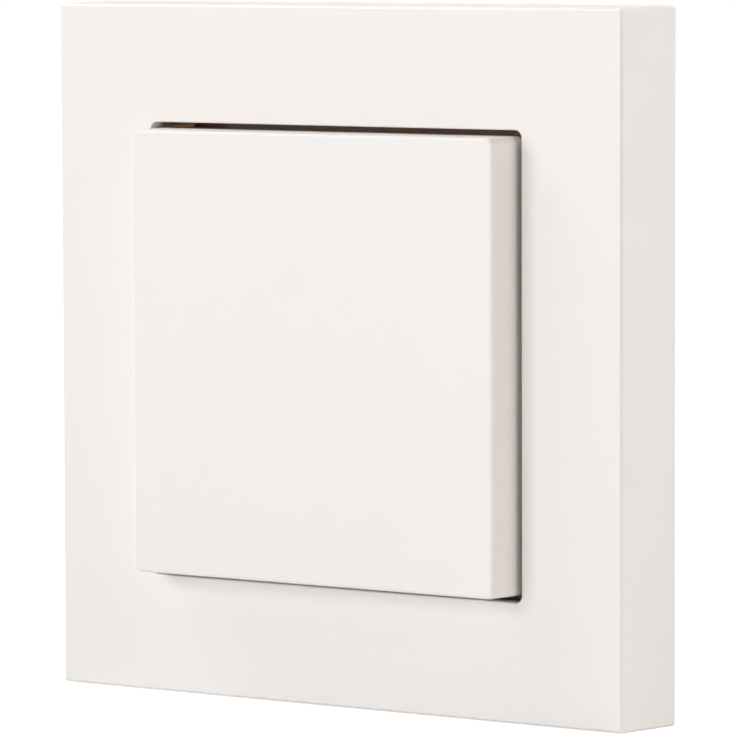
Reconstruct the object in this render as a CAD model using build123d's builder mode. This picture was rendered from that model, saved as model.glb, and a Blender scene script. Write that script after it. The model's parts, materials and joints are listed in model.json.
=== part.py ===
from build123d import *
from math import cos, radians, sin, tan
import os

# Self-powered wall switch: a square cover frame, a large rocker that tilts about its middle, and behind them
# a mounting plate with a transmitter module. The wall is the plane y = 0 and the user looks along +Y, so a
# height above the wall runs towards -Y. All lengths are in millimetres, all angles in degrees.

# Cover frame
frame_size = 83.3           # side of the front face
frame_depth = 10.6          # front face above the wall
frame_draft = 1.2           # the sides flare towards the wall
frame_wall = 2.0
frame_face = 2.2
frame_edge = 0.28           # bevel round the front and down the corners
opening_size = 55.0
opening_corner = 0.9
opening_edge = 0.12
frame_rib = 1.2
catch_width = 5.4           # tabs on the frame's inside that the spring clips grip
catch_inset = 0.85          # opening's edge to the tab's inner face
catch_groove = 0.35
catch_room = 0.6            # tab's end to the mounting plate

# Rocker
rocker_gap = 0.8            # to the opening's edge, at the rocker's front
rocker_proud = 4.7          # above the frame's front
rocker_skirt = 6.0          # depth of the side walls
rocker_draft = 0.7
rocker_face = 1.8
rocker_wall = 1.4
rocker_edge = 0.45          # round its front
rocker_corner = 0.8         # down its corners
rocker_tilt = 3.0           # to either side of rest
rocker_rib = 1.0
tilt_room = 2.5             # rocker's inner face to the module's lid

# Mounting plate
plate_thick = 2.0
plate_gap = 0.3             # to the frame's wall
plate_corner = 3.0
screw_spacing = 60.0
slot_width = 4.6
slot_length = 9.0
head_width = 8.0
head_recess = 0.8
pad_width = 46.0
pad_height = 12.0
pad_thick = 0.8
pad_offset = 12.5
pad_gap = 0.2
snap_width = 6.0            # arms that hold the module
snap_thick = 1.4
snap_offset = 10.0
snap_barb = 0.6
snap_under = 4.0            # barb's underside above the plate
snap_lead = 1.6             # height of the barb's sloped nose
snap_room = 0.3             # to either side of a barb in its recess
guide_width = 6.0
guide_thick = 1.2
guide_height = 3.0
guide_offset = 15.0

# Spring clips for the frame
clip_width = 3.4
clip_thick = 0.3
clip_foot = 4.5
clip_lean = 1.6             # bulge in front of the clip's root
clip_rise = 2.6             # bulge above the plate
clip_tip = 2.0              # tip above the bulge
clip_bend = 0.6
bridge_width = 1.4          # bridges on the plate that hold the clips' feet
bridge_thick = 0.8
bridge_post = 0.9

# Transmitter module
module_size = 40.0
module_wall = 1.2
module_corner = 1.0
module_edge = 0.6
tray_base = 1.0
lid_thick = 1.2
lid_rim = 2.0
lip_depth = 1.0
lip_thick = 0.9
fit_gap = 0.1               # between parts that slip together
run_gap = 0.06              # around pins that turn
trunnion_radius = 1.5
trunnion_length = 2.6
hook_width = 2.0
hook_side = 0.4             # hook to the module's side
hook_rim = 1.2              # wall round the trunnion
mouth_share = 0.85          # mouth of a snap hook over its pin's diameter

# Generator: a lever with magnets swings between the tips of an iron core
drive_x = 7.2
drive_inset = 3.2           # drive pin to the module's upper wall
drive_radius = 0.8
drive_rim = 1.1
drive_width = 2.2
drive_side = 0.5
window_room = 0.8           # round the drive hook where it passes the lid
swing_room = 0.2            # lever to the module's floor and lid
pole_length = 16.0
pole_thick = 0.7
pole_width = 7.0
pole_reach = 6.0            # core tips to either side of the lever's axis
tip_room = 0.1              # core tips to the pole plates at full swing
tip_width = 2.0
magnet_width = 3.0
magnet_height = 2.8
lever_x = 2.0               # lever's inner side
lever_saddle = 1.4
saddle_thick = 0.5
saddle_height = 5.0
arm_radius = 1.4
cheek_thick = 1.6
axle_radius = 0.75
post_thick = 2.0
post_height = 4.0
post_cap = 1.5
post_gap = 0.8              # lever to the bearing post beside it
inner_post_gap = 1.2        # pole plates to the bearing post beside them
core_x = -13.0
core_share = 0.7            # width of the core's back, as a share of the lever's room
core_joint = 0.05
core_seat = 2.0
core_seat_x = -8.0
tip_gap = 0.6               # core tips to the magnets
bobbin_hub = 0.5
bobbin_flange = 0.8
bobbin_gap = 0.2            # flanges to the core's legs, the floor and the lid
winding_margin = 0.25       # winding below the flanges' rim
lead_radius = 0.15
lead_offset = 2.2
lead_overlap = 2.0          # on the circuit board

# Circuit board
board_thick = 1.0
board_gap = 0.3
board_top = -1.6            # upper edge
board_lift = 1.0            # above the module's floor
board_inset = 2.2
peg_radius = 0.7
peg_rise = 0.4
rest_size = 2.6             # square rests under the board's corners
chip_size = 6.0
chip_thick = 0.85
chip_share = -0.04          # places along the board, as shares of its width
power_width = 5.0
power_height = 4.0
power_thick = 1.4
power_share = -0.27
power_raise = 2.0           # above the board's middle
crystal_width = 3.2
crystal_height = 2.5
crystal_thick = 0.8
crystal_corner = 0.4
crystal_share = 0.065
crystal_drop = 5.5          # below the board's middle
capacitor_width = 7.3
capacitor_height = 4.3
capacitor_thick = 2.8
capacitor_pitch = 6.0
capacitor_share = 0.24
diode_width = 2.7
diode_height = 1.6
diode_thick = 1.1
diode_pitch = 3.6
diode_share = -0.2
diode_drop = 5.0
antenna_width = 1.0
antenna_thick = 0.4
antenna_side = 1.9          # to the tray's side wall
antenna_head = 2.6          # to the tray's upper wall
antenna_foot = 6.4          # below the board's upper edge
antenna_rise = 2.2
antenna_hook = 4.1
antenna_bend = 1.2
antenna_rest = 2.0

# Centring spring
spring_thick = 0.25
spring_length = 22.0
spring_strap = 5.0
spring_wing = 5.0
spring_reach = 11.5
spring_contact = 0.1        # below the rocker's ribs
spring_nose = 1.2
spring_dip = 0.3
clamp_reach = 1.0           # hooks on the lid that hold the strap's ends
clamp_wall = 0.9
clamp_thick = 0.6
clamp_width = 3.0

# Heights and places that follow from the values above
wall = Plane.XZ             # local x to the right, local y up, normal towards the user
flare = tan(radians(frame_draft))
frame_back = frame_size + 2 * frame_depth * flare
frame_inside = frame_depth - frame_face
cavity_size = frame_back - 2 * frame_wall
plate_size = cavity_size - 2 * plate_thick * flare - 2 * plate_gap
rocker_size = opening_size - 2 * rocker_gap
rocker_front = frame_depth + rocker_proud
rocker_back = rocker_front - rocker_skirt
rocker_inside = rocker_front - rocker_face
rocker_foot = rocker_size + 2 * rocker_skirt * tan(radians(rocker_draft))
rocker_cavity = rocker_foot - 2 * rocker_wall
rib_under = rocker_inside - rocker_rib
lid_front = rocker_inside - tilt_room
lid_inside = lid_front - lid_thick
tray_top = lid_front - lid_rim
tray_floor = plate_thick + tray_base
tray_inner = module_size - 2 * module_wall
lip_size = tray_inner - 2 * fit_gap
axis_height = (tray_floor + lid_inside) / 2
swing = radians(2 * rocker_tilt)
drive_z = tray_inner / 2 - drive_inset
lever_z = drive_z / 2
room = (lid_inside - tray_floor) / 2
block_half = (room - swing_room - pole_length / 2 * sin(swing)) / cos(swing)
pole_gap = 2 * (block_half - pole_thick)
tip_far = pole_reach + tip_width / 2
core_thick = 2 * (pole_gap / 2 * cos(swing) - tip_far * sin(swing) - tip_room)
pole_x = lever_x - pole_width / 2
hub_radius = pole_gap / 2 - fit_gap
magnet_offset = hub_radius + fit_gap + magnet_height / 2
core_width = core_share * room
hub_start = lever_x - pole_width + fit_gap
cheek_start = drive_x - drive_width / 2 - drive_side
cheek_end = drive_x + drive_width / 2 + drive_side
lever_end = cheek_end + cheek_thick
post_near = lever_x - pole_width - inner_post_gap - post_thick / 2
post_far = lever_end + post_gap + post_thick / 2
post_top = axis_height + post_cap
core_tip = lever_x - magnet_width - tip_gap
bobbin_radius = room - bobbin_gap
bobbin_length = 2 * (pole_reach - tip_width / 2 - bobbin_gap)
snap_face = module_size / 2 + fit_gap
board_bottom = tray_floor + board_lift
board_front = board_bottom + board_thick
board_width = tray_inner - 2 * board_gap
board_low = -tray_inner / 2 + board_gap
board_height = board_top - board_low
board_middle = (board_top + board_low) / 2
catch_z = opening_size / 2 + catch_inset
catch_reach = catch_z - catch_width / 2
clip_bulge = catch_z + catch_groove - fit_gap - clip_thick / 2
clip_z = clip_bulge - clip_lean
spring_x = spring_length / 2 - spring_wing / 2
post_places = [(post_near, lever_z), (post_far, lever_z)]
core_places = [(core_seat_x, lever_z - pole_reach), (core_seat_x, lever_z + pole_reach)]
rest_pitch_x = board_width - 2 * board_inset
rest_pitch_z = board_height - 2 * board_inset
peg_places = [
    (rest_pitch_x / 2, board_middle + rest_pitch_z / 2),
    (-rest_pitch_x / 2, board_middle - rest_pitch_z / 2),
]
antenna_x = tray_inner / 2 - antenna_side
antenna_z = board_top - antenna_foot
antenna_top = tray_inner / 2 - antenna_head
antenna_height = board_front + antenna_rise


def side(x):
    """Plane across the switch at x: local x is the height above the wall, local y is up, normal to -X."""
    return Plane(origin=(x, 0, 0), x_dir=(0, -1, 0), z_dir=(-1, 0, 0))


def snap_hook(height, z, radius, rim, top):
    """Outline of an arm that hangs from height top and snaps over a pin at (height, z)."""
    with Locations((height, z)):
        Circle(radius + run_gap + rim)
    with Locations(((height + top) / 2, z)):
        Rectangle(top - height, 2 * (radius + run_gap + rim))
    with Locations((height, z)):
        Circle(radius + run_gap, mode=Mode.SUBTRACT)
    mouth_depth = radius + run_gap + rim
    with Locations((height - mouth_depth / 2, z)):
        Rectangle(mouth_depth, 2 * radius * mouth_share, mode=Mode.SUBTRACT)


# Cover frame: drafted shell with a square opening, tabs for the clips and ribs that seat on the plate
with BuildPart() as cover_frame:
    with BuildSketch(wall):
        Rectangle(frame_back, frame_back)
    extrude(amount=frame_depth, taper=frame_draft)
    chamfer(cover_frame.edges() - cover_frame.faces().sort_by(Axis.Y)[-1].edges(), frame_edge)
    with BuildSketch(wall):
        Rectangle(cavity_size, cavity_size)
    extrude(amount=frame_inside, taper=frame_draft, mode=Mode.SUBTRACT)
    with BuildSketch(wall.offset(frame_inside)):
        RectangleRounded(opening_size, opening_size, opening_corner)
    extrude(amount=frame_face, mode=Mode.SUBTRACT)
    front = cover_frame.faces().filter_by(Axis.Y).sort_by(Axis.Y)[0]
    chamfer(front.inner_wires()[0].edges(), opening_edge)
    with BuildSketch(wall.offset(plate_thick + catch_room)):
        with GridLocations(2 * catch_reach, 2 * catch_z + frame_rib, 2, 2):
            Rectangle(catch_width, frame_rib)
    extrude(amount=frame_inside - plate_thick - catch_room)
    rib_end = (cavity_size + frame_wall) / 2
    with BuildSketch(wall.offset(plate_thick)):
        with GridLocations(catch_z + rib_end, 2 * catch_z + frame_rib, 2, 2):
            Rectangle(rib_end - catch_z, frame_rib)
        with GridLocations(2 * catch_z + frame_rib, catch_z + rib_end, 2, 2):
            Rectangle(frame_rib, rib_end - catch_z)
    extrude(amount=frame_inside - plate_thick)
    groove_radius = clip_rise / 2
    groove_height = plate_thick + clip_rise
    for x in (catch_reach, -catch_reach):
        with BuildSketch(side(x + catch_width / 2)):
            for z in (1, -1):
                with Locations((groove_height, z * (catch_z + catch_groove - groove_radius))):
                    Circle(groove_radius)
        extrude(amount=catch_width, mode=Mode.SUBTRACT)

# Rocker: drafted cap with stiffening ribs, two hooks for the trunnions and a hook that drives the lever
with BuildPart() as rocker:
    with BuildSketch(wall.offset(rocker_back)):
        Rectangle(rocker_foot, rocker_foot)
    extrude(amount=rocker_skirt, taper=rocker_draft)
    ends = rocker.faces().sort_by(Axis.Y)[0].edges() + rocker.faces().sort_by(Axis.Y)[-1].edges()
    fillet(rocker.edges() - ends, rocker_corner)
    fillet(rocker.faces().sort_by(Axis.Y)[0].edges(), rocker_edge)
    with BuildSketch(wall.offset(rocker_back)):
        Rectangle(rocker_cavity, rocker_cavity)
    extrude(amount=rocker_skirt - rocker_face, taper=rocker_draft, mode=Mode.SUBTRACT)
    with BuildSketch(wall.offset(rib_under)):
        with GridLocations(2 * spring_x, 0, 2, 1):
            Rectangle(rocker_rib, rocker_cavity)
        with GridLocations(0, 2 * spring_reach, 1, 2):
            Rectangle(rocker_cavity, rocker_rib)
    extrude(amount=rocker_rib)
    hook_x = module_size / 2 + hook_side
    for x in (hook_x + hook_width, -hook_x):
        with BuildSketch(side(x)):
            snap_hook(axis_height, 0, trunnion_radius, hook_rim, rocker_inside)
        extrude(amount=hook_width)
    with BuildSketch(side(drive_x + drive_width / 2)):
        snap_hook(axis_height, drive_z, drive_radius, drive_rim, rocker_inside)
    extrude(amount=drive_width)

# Mounting plate: slots for the wall screws, pockets for the pads, snap arms for the module, bridges for the clips
with BuildPart() as mounting_plate:
    with BuildSketch(wall):
        RectangleRounded(plate_size, plate_size, plate_corner)
    extrude(amount=plate_thick)
    for width, length, depth in (
        (slot_width, slot_length, plate_thick),
        (head_width, slot_length + head_width - slot_width, head_recess),
    ):
        with BuildSketch(wall.offset(plate_thick)):
            with GridLocations(screw_spacing, 0, 2, 1):
                SlotOverall(length, width)
        extrude(amount=-depth, mode=Mode.SUBTRACT)
    with BuildSketch(wall):
        with GridLocations(0, 2 * pad_offset, 1, 2):
            Rectangle(pad_width + 2 * pad_gap, pad_height + 2 * pad_gap)
    extrude(amount=pad_thick, mode=Mode.SUBTRACT)
    barb_height = plate_thick + snap_under
    for x in (snap_offset, -snap_offset):
        with BuildSketch(side(x + snap_width / 2)):
            with BuildLine():
                Polyline(
                    (plate_thick, snap_face),
                    (barb_height, snap_face),
                    (barb_height, snap_face - snap_barb),
                    (barb_height + snap_lead / 4, snap_face - snap_barb),
                    (barb_height + snap_lead, snap_face),
                    (barb_height + snap_lead, snap_face + snap_thick),
                    (plate_thick, snap_face + snap_thick),
                    close=True,
                )
            make_face()
        upper_arm = extrude(amount=snap_width)
        mirror(upper_arm, about=Plane.XY)
    with BuildSketch(wall):
        with GridLocations(2 * snap_offset, 2 * snap_face - snap_barb, 2, 2):
            Rectangle(snap_width, snap_barb)
    extrude(amount=plate_thick, mode=Mode.SUBTRACT)
    with BuildSketch(wall.offset(plate_thick)):
        with GridLocations(module_size + 2 * fit_gap + guide_thick, 2 * guide_offset, 2, 2):
            Rectangle(guide_thick, guide_width)
    extrude(amount=guide_height)
    bridge_z = clip_z + clip_foot - bridge_width / 2
    bridge_room = clip_width + 2 * fit_gap
    with BuildSketch(wall.offset(plate_thick)):
        with GridLocations(2 * catch_reach, 2 * bridge_z, 2, 2):
            Rectangle(bridge_room + 2 * bridge_post, bridge_width)
    extrude(amount=clip_thick + bridge_thick)
    with BuildSketch(wall.offset(plate_thick)):
        with GridLocations(2 * catch_reach, 2 * bridge_z, 2, 2):
            Rectangle(bridge_room, bridge_width)
    extrude(amount=clip_thick, mode=Mode.SUBTRACT)

# Spring clips: bent bronze strips under the plate's bridges, whose bulge sits in the groove of the frame's tab
with BuildPart() as frame_clips:
    foot_height = plate_thick + clip_thick / 2
    bulge_height = plate_thick + clip_rise
    for x in (catch_reach, -catch_reach):
        with BuildSketch(side(x + clip_width / 2)):
            with BuildLine() as strip:
                FilletPolyline(
                    (foot_height, clip_z + clip_foot),
                    (foot_height, clip_z),
                    (bulge_height, clip_bulge),
                    (bulge_height + clip_tip, clip_z),
                    radius=clip_bend,
                )
            trace(strip.line, clip_thick)
        upper_clip = extrude(amount=clip_width)
        mirror(upper_clip, about=Plane.XY)

# Adhesive pads: foam strips flush with the plate's back
with BuildPart() as adhesive_pads:
    with BuildSketch(wall):
        with GridLocations(0, 2 * pad_offset, 1, 2):
            Rectangle(pad_width, pad_height)
    extrude(amount=pad_thick)

# Module tray: rear shell with trunnions, bearing posts for the axle, rests for the board, seats for the core
with BuildPart() as module_tray:
    with BuildSketch(wall.offset(plate_thick)):
        RectangleRounded(module_size, module_size, module_corner)
    extrude(amount=tray_top - plate_thick)
    with BuildSketch(wall.offset(tray_floor)):
        Rectangle(tray_inner, tray_inner)
    extrude(amount=tray_top - tray_floor, mode=Mode.SUBTRACT)
    for x in (module_size / 2 + trunnion_length, -module_size / 2):
        with BuildSketch(side(x)):
            with Locations((axis_height, 0)):
                Circle(trunnion_radius)
        extrude(amount=trunnion_length)
    with BuildSketch(wall.offset(plate_thick + snap_under - fit_gap)):
        with GridLocations(2 * snap_offset, module_size - snap_barb, 2, 2):
            Rectangle(snap_width + 2 * snap_room, snap_barb)
    extrude(amount=snap_lead, mode=Mode.SUBTRACT)
    with BuildSketch(wall.offset(tray_floor)):
        with Locations(*post_places):
            Rectangle(post_thick, post_height)
    extrude(amount=post_top - tray_floor)
    with BuildSketch(side(post_far + post_thick / 2)):
        with Locations((axis_height, lever_z)):
            Circle(axle_radius + run_gap)
        with Locations((axis_height + post_cap / 2, lever_z)):
            Rectangle(post_cap, 2 * (axle_radius + run_gap))
    extrude(amount=post_far - post_near + post_thick, mode=Mode.SUBTRACT)
    with BuildSketch(wall.offset(tray_floor)):
        with Locations(*core_places):
            Rectangle(core_seat, tip_width)
    extrude(amount=axis_height - core_thick / 2 - tray_floor)
    with BuildSketch(wall.offset(tray_floor)):
        with Locations((0, board_middle)):
            with GridLocations(rest_pitch_x, rest_pitch_z, 2, 2):
                Rectangle(rest_size, rest_size)
    extrude(amount=board_lift)
    with BuildSketch(wall.offset(board_bottom)):
        with Locations(*peg_places):
            Circle(peg_radius)
    extrude(amount=board_thick + peg_rise)
    with BuildSketch(wall.offset(tray_floor)):
        with Locations((antenna_x, antenna_top - 2 * antenna_bend)):
            Rectangle(antenna_rest, antenna_rest)
    extrude(amount=antenna_height - antenna_thick / 2 - tray_floor)

# Module lid: front shell with a window for the drive hook, fingers that keep the axle, hooks for the spring
with BuildPart() as module_lid:
    with BuildSketch(wall.offset(tray_top)):
        RectangleRounded(module_size, module_size, module_corner)
    extrude(amount=lid_rim)
    chamfer(module_lid.faces().sort_by(Axis.Y)[0].edges(), module_edge)
    with BuildSketch(wall.offset(tray_top - lip_depth)):
        Rectangle(lip_size, lip_size)
    extrude(amount=lip_depth)
    with BuildSketch(wall.offset(tray_top - lip_depth)):
        Rectangle(lip_size - 2 * lip_thick, lip_size - 2 * lip_thick)
    extrude(amount=lid_inside - tray_top + lip_depth, mode=Mode.SUBTRACT)
    window_width = drive_width + 2 * window_room
    window_height = 2 * (drive_radius + run_gap + drive_rim + window_room)
    with BuildSketch(wall.offset(tray_top - lip_depth)):
        with Locations((drive_x, drive_z)):
            Rectangle(window_width, window_height)
    extrude(amount=lid_front - tray_top + lip_depth, mode=Mode.SUBTRACT)
    keeper = axis_height + axle_radius + fit_gap
    with BuildSketch(wall.offset(keeper)):
        with Locations(*post_places):
            Rectangle(post_thick, 2 * axle_radius)
    extrude(amount=lid_inside - keeper)
    clamp_room = clamp_reach + fit_gap
    with BuildSketch(wall.offset(lid_front)):
        with GridLocations(spring_length + 2 * fit_gap + clamp_wall - clamp_room, 0, 2, 1):
            Rectangle(clamp_room + clamp_wall, clamp_width)
    extrude(amount=spring_thick + clamp_thick)
    with BuildSketch(wall.offset(lid_front)):
        with GridLocations(spring_length + 2 * fit_gap - clamp_room, 0, 2, 1):
            Rectangle(clamp_room, clamp_width)
    extrude(amount=spring_thick, mode=Mode.SUBTRACT)

# Centring spring: a stamped leaf under the lid's hooks, with four wings that press on the rocker's ribs
with BuildPart() as centring_spring:
    with BuildSketch(wall.offset(lid_front)):
        Rectangle(spring_length, spring_strap)
    extrude(amount=spring_thick)
    wing_low = lid_front + spring_thick / 2
    wing_high = rib_under - spring_contact - spring_thick / 2
    wing_root = spring_strap / 2 - spring_thick
    for x in (spring_x, -spring_x):
        with BuildSketch(side(x + spring_wing / 2)):
            with BuildLine() as leaf:
                Polyline(
                    (wing_low, wing_root),
                    (wing_high, spring_reach),
                    (wing_high - spring_dip, spring_reach + spring_nose),
                )
            trace(leaf.line, spring_thick)
        upper_wing = extrude(amount=spring_wing)
        mirror(upper_wing, about=Plane.XY)

# Circuit board, on four rests of the tray and over its two pegs
with BuildPart() as circuit_board:
    with BuildSketch(wall.offset(board_bottom)):
        with Locations((0, board_middle)):
            Rectangle(board_width, board_height)
        with Locations(*peg_places):
            Circle(peg_radius + run_gap, mode=Mode.SUBTRACT)
    extrude(amount=board_thick)

# Parts on the board
with BuildPart() as radio_chip:
    with BuildSketch(wall.offset(board_front)):
        with Locations((chip_share * board_width, board_middle)):
            Rectangle(chip_size, chip_size)
    extrude(amount=chip_thick)

with BuildPart() as power_chip:
    with BuildSketch(wall.offset(board_front)):
        with Locations((power_share * board_width, board_middle + power_raise)):
            Rectangle(power_width, power_height)
    extrude(amount=power_thick)

with BuildPart() as crystal:
    with BuildSketch(wall.offset(board_front)):
        with Locations((crystal_share * board_width, board_middle - crystal_drop)):
            RectangleRounded(crystal_width, crystal_height, crystal_corner)
    extrude(amount=crystal_thick)

with BuildPart() as storage_capacitors:
    with BuildSketch(wall.offset(board_front)):
        with Locations((capacitor_share * board_width, board_middle)):
            with GridLocations(0, capacitor_pitch, 1, 2):
                Rectangle(capacitor_width, capacitor_height)
    extrude(amount=capacitor_thick)

with BuildPart() as rectifier_diodes:
    with BuildSketch(wall.offset(board_front)):
        with Locations((diode_share * board_width, board_middle - diode_drop)):
            with GridLocations(diode_pitch, 0, 4, 1):
                Rectangle(diode_width, diode_height)
    extrude(amount=diode_thick)

# Antenna: bent strip from the board along the tray's wall
with BuildPart() as antenna:
    with BuildLine() as route:
        FilletPolyline(
            (antenna_x, -board_front, antenna_z),
            (antenna_x, -antenna_height, antenna_z),
            (antenna_x, -antenna_height, antenna_top),
            (antenna_x - antenna_hook, -antenna_height, antenna_top),
            radius=antenna_bend,
        )
    with BuildSketch(Plane(origin=route.line @ 0, x_dir=(1, 0, 0), z_dir=route.line % 0)):
        Rectangle(antenna_width, antenna_thick)
    sweep(path=route.line)

# Iron core: two L-shaped halves that meet inside the bobbin
with BuildPart() as core_halves:
    with BuildSketch(wall.offset(axis_height - core_thick / 2)):
        leg_start = core_x - core_width / 2
        for up in (1, -1):
            with Locations(((leg_start + core_tip) / 2, lever_z + up * pole_reach)):
                Rectangle(core_tip - leg_start, tip_width)
            half = pole_reach + tip_width / 2 - core_joint / 2
            with Locations((core_x, lever_z + up * (half + core_joint) / 2)):
                Rectangle(core_width, half)
    extrude(amount=core_thick)

# Coil: flanged bobbin on the core's back, and the winding between its flanges
with BuildPart() as coil_bobbin:
    hub_half = (core_width / 2) + fit_gap + bobbin_hub
    for z, length, radius in (
        (lever_z - bobbin_length / 2, bobbin_length, hub_half),
        (lever_z - bobbin_length / 2, bobbin_flange, bobbin_radius),
        (lever_z + bobbin_length / 2 - bobbin_flange, bobbin_flange, bobbin_radius),
    ):
        with BuildSketch(Plane.XY.offset(z)):
            with Locations((core_x, -axis_height)):
                Circle(radius)
        extrude(amount=length)
    with BuildSketch(Plane.XY.offset(lever_z - bobbin_length / 2)):
        with Locations((core_x, -axis_height)):
            Rectangle(core_width + 2 * fit_gap, core_thick + 2 * fit_gap)
    extrude(amount=bobbin_length, mode=Mode.SUBTRACT)

with BuildPart() as coil_winding:
    winding_length = bobbin_length - 2 * bobbin_flange
    with BuildSketch(Plane.XY.offset(lever_z - winding_length / 2)):
        with Locations((core_x, -axis_height)):
            Circle(bobbin_radius - winding_margin)
            Circle(hub_half, mode=Mode.SUBTRACT)
    extrude(amount=winding_length)

with BuildPart() as coil_leads:
    lead_start = lever_z - bobbin_length / 2
    with BuildSketch(Plane.XY.offset(lead_start)):
        with Locations((core_x, -board_front - lead_radius)):
            with GridLocations(2 * lead_offset, 0, 2, 1):
                Circle(lead_radius)
    extrude(amount=board_top - lead_overlap - lead_start)

# Magnet lever: two cheeks with the drive pin between them, on a hub that carries magnets and pole plates
with BuildPart() as magnet_lever:
    with BuildSketch(side(lever_end)):
        with Locations((axis_height, lever_z)):
            Circle(hub_radius)
    extrude(amount=lever_end - hub_start)
    for x, width in ((cheek_start, cheek_start - lever_x), (lever_end, cheek_thick)):
        with BuildSketch(side(x)):
            with Locations((axis_height, (lever_z + drive_z) / 2)):
                SlotCenterToCenter(drive_z - lever_z, 2 * arm_radius, rotation=90)
        extrude(amount=width)
    with BuildSketch(side(cheek_start)):
        with Locations((axis_height, lever_z)):
            Rectangle(2 * (block_half + saddle_thick), saddle_height)
    extrude(amount=cheek_start - lever_x + lever_saddle)
    with BuildSketch(side(lever_x)):
        with Locations((axis_height, lever_z)):
            Rectangle(2 * block_half, saddle_height)
            Circle(hub_radius, mode=Mode.SUBTRACT)
    extrude(amount=lever_saddle, mode=Mode.SUBTRACT)
    with BuildSketch(side(lever_end)):
        with Locations((axis_height, drive_z)):
            Circle(drive_radius)
    extrude(amount=lever_end - lever_x)
    with BuildSketch(side(lever_end)):
        with Locations((axis_height, lever_z)):
            Circle(axle_radius)
    extrude(amount=lever_end - hub_start, mode=Mode.SUBTRACT)

with BuildPart() as lever_axle:
    with BuildSketch(side(post_far + post_thick / 2)):
        with Locations((axis_height, lever_z)):
            Circle(axle_radius)
    extrude(amount=post_far - post_near + post_thick)

with BuildPart() as magnets:
    with BuildSketch(wall.offset(axis_height - pole_gap / 2)):
        with Locations((lever_x - magnet_width / 2, lever_z)):
            with GridLocations(0, 2 * magnet_offset, 1, 2):
                Rectangle(magnet_width, magnet_height)
    extrude(amount=pole_gap)

with BuildPart() as pole_plates:
    for height in (axis_height - block_half, axis_height + pole_gap / 2):
        with BuildSketch(wall.offset(height)):
            with Locations((pole_x, lever_z)):
                Rectangle(pole_width, pole_length)
        extrude(amount=pole_thick)

# Write each piece
os.makedirs("parts", exist_ok=True)
pieces = {
    "cover_frame": cover_frame,
    "rocker": rocker,
    "mounting_plate": mounting_plate,
    "frame_clips": frame_clips,
    "adhesive_pads": adhesive_pads,
    "module_tray": module_tray,
    "module_lid": module_lid,
    "centring_spring": centring_spring,
    "circuit_board": circuit_board,
    "radio_chip": radio_chip,
    "power_chip": power_chip,
    "crystal": crystal,
    "storage_capacitors": storage_capacitors,
    "rectifier_diodes": rectifier_diodes,
    "antenna": antenna,
    "core_halves": core_halves,
    "coil_bobbin": coil_bobbin,
    "coil_winding": coil_winding,
    "coil_leads": coil_leads,
    "magnet_lever": magnet_lever,
    "lever_axle": lever_axle,
    "magnets": magnets,
    "pole_plates": pole_plates,
}
for label, piece in pieces.items():
    piece.part.label = label
    export_step(piece.part, f"parts/{label}.step")
print("rocker axis height", axis_height, "lever z", lever_z)
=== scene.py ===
# %% [markdown]
# # A flat wall switch
#
# The switch is a square cover frame with one large rocker. Behind them sit a mounting plate, whose brown is
# painted shade, and a small module that makes its own power from the press. The shapes come from the imported
# model, so this file gives them their finish, adds the small things that repeat, and lights and frames the
# picture.

# %% Load the imported model
import bmesh
import bpy
import json
import math
from mathutils import Matrix, Vector
from mathutils import noise as cloudy


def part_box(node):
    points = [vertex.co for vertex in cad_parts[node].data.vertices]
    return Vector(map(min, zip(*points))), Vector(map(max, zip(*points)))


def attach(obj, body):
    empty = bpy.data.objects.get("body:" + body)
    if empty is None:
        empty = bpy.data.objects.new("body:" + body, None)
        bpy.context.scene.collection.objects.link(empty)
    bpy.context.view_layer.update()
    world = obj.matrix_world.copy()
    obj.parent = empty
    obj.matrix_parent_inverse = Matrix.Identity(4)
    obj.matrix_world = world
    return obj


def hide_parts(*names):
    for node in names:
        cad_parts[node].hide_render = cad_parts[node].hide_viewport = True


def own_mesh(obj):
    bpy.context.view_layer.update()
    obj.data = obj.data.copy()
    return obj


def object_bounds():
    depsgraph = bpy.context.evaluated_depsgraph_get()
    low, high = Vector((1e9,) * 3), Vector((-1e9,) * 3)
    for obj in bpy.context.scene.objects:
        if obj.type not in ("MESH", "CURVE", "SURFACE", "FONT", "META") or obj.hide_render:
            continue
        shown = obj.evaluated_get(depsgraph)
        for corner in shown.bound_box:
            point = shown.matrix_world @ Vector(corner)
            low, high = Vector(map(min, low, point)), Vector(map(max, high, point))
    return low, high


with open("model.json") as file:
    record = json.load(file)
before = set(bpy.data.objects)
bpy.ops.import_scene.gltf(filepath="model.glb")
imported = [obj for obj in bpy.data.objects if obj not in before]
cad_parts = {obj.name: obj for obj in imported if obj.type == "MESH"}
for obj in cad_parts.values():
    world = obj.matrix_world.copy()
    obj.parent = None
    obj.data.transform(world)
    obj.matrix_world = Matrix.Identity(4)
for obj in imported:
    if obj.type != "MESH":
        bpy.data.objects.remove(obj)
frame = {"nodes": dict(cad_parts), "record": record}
cad_low, cad_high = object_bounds()
scene = bpy.context.scene
scene.view_settings.view_transform = "Standard"
MM = 0.001
print("pieces:", len(frame["nodes"]), "size in mm:", [round(x / MM, 1) for x in cad_high - cad_low])

# %% [markdown]
# ## Camera
#
# A product photograph like this is taken from far away with a long lens, so that square things stay square.
# The camera could be placed by eye, but its turn, pitch and roll were measured on the frame's edges, so here
# it is built from those angles. Its axes are the columns of its matrix.

# %% Place the camera
yaw, pitch, roll = 0.64359, 0.07536, -0.00306
focal_px, image_px = 6097.7, 736
camera_place = Vector((436.16, -584.96, 53.23)) * MM

forward = Vector((-math.sin(yaw) * math.cos(pitch), math.cos(yaw) * math.cos(pitch), -math.sin(pitch)))
level_right = Vector((math.cos(yaw), math.sin(yaw), 0))
level_up = level_right.cross(forward)
right = level_right * math.cos(roll) + level_up * math.sin(roll)
up = right.cross(forward)

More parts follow.
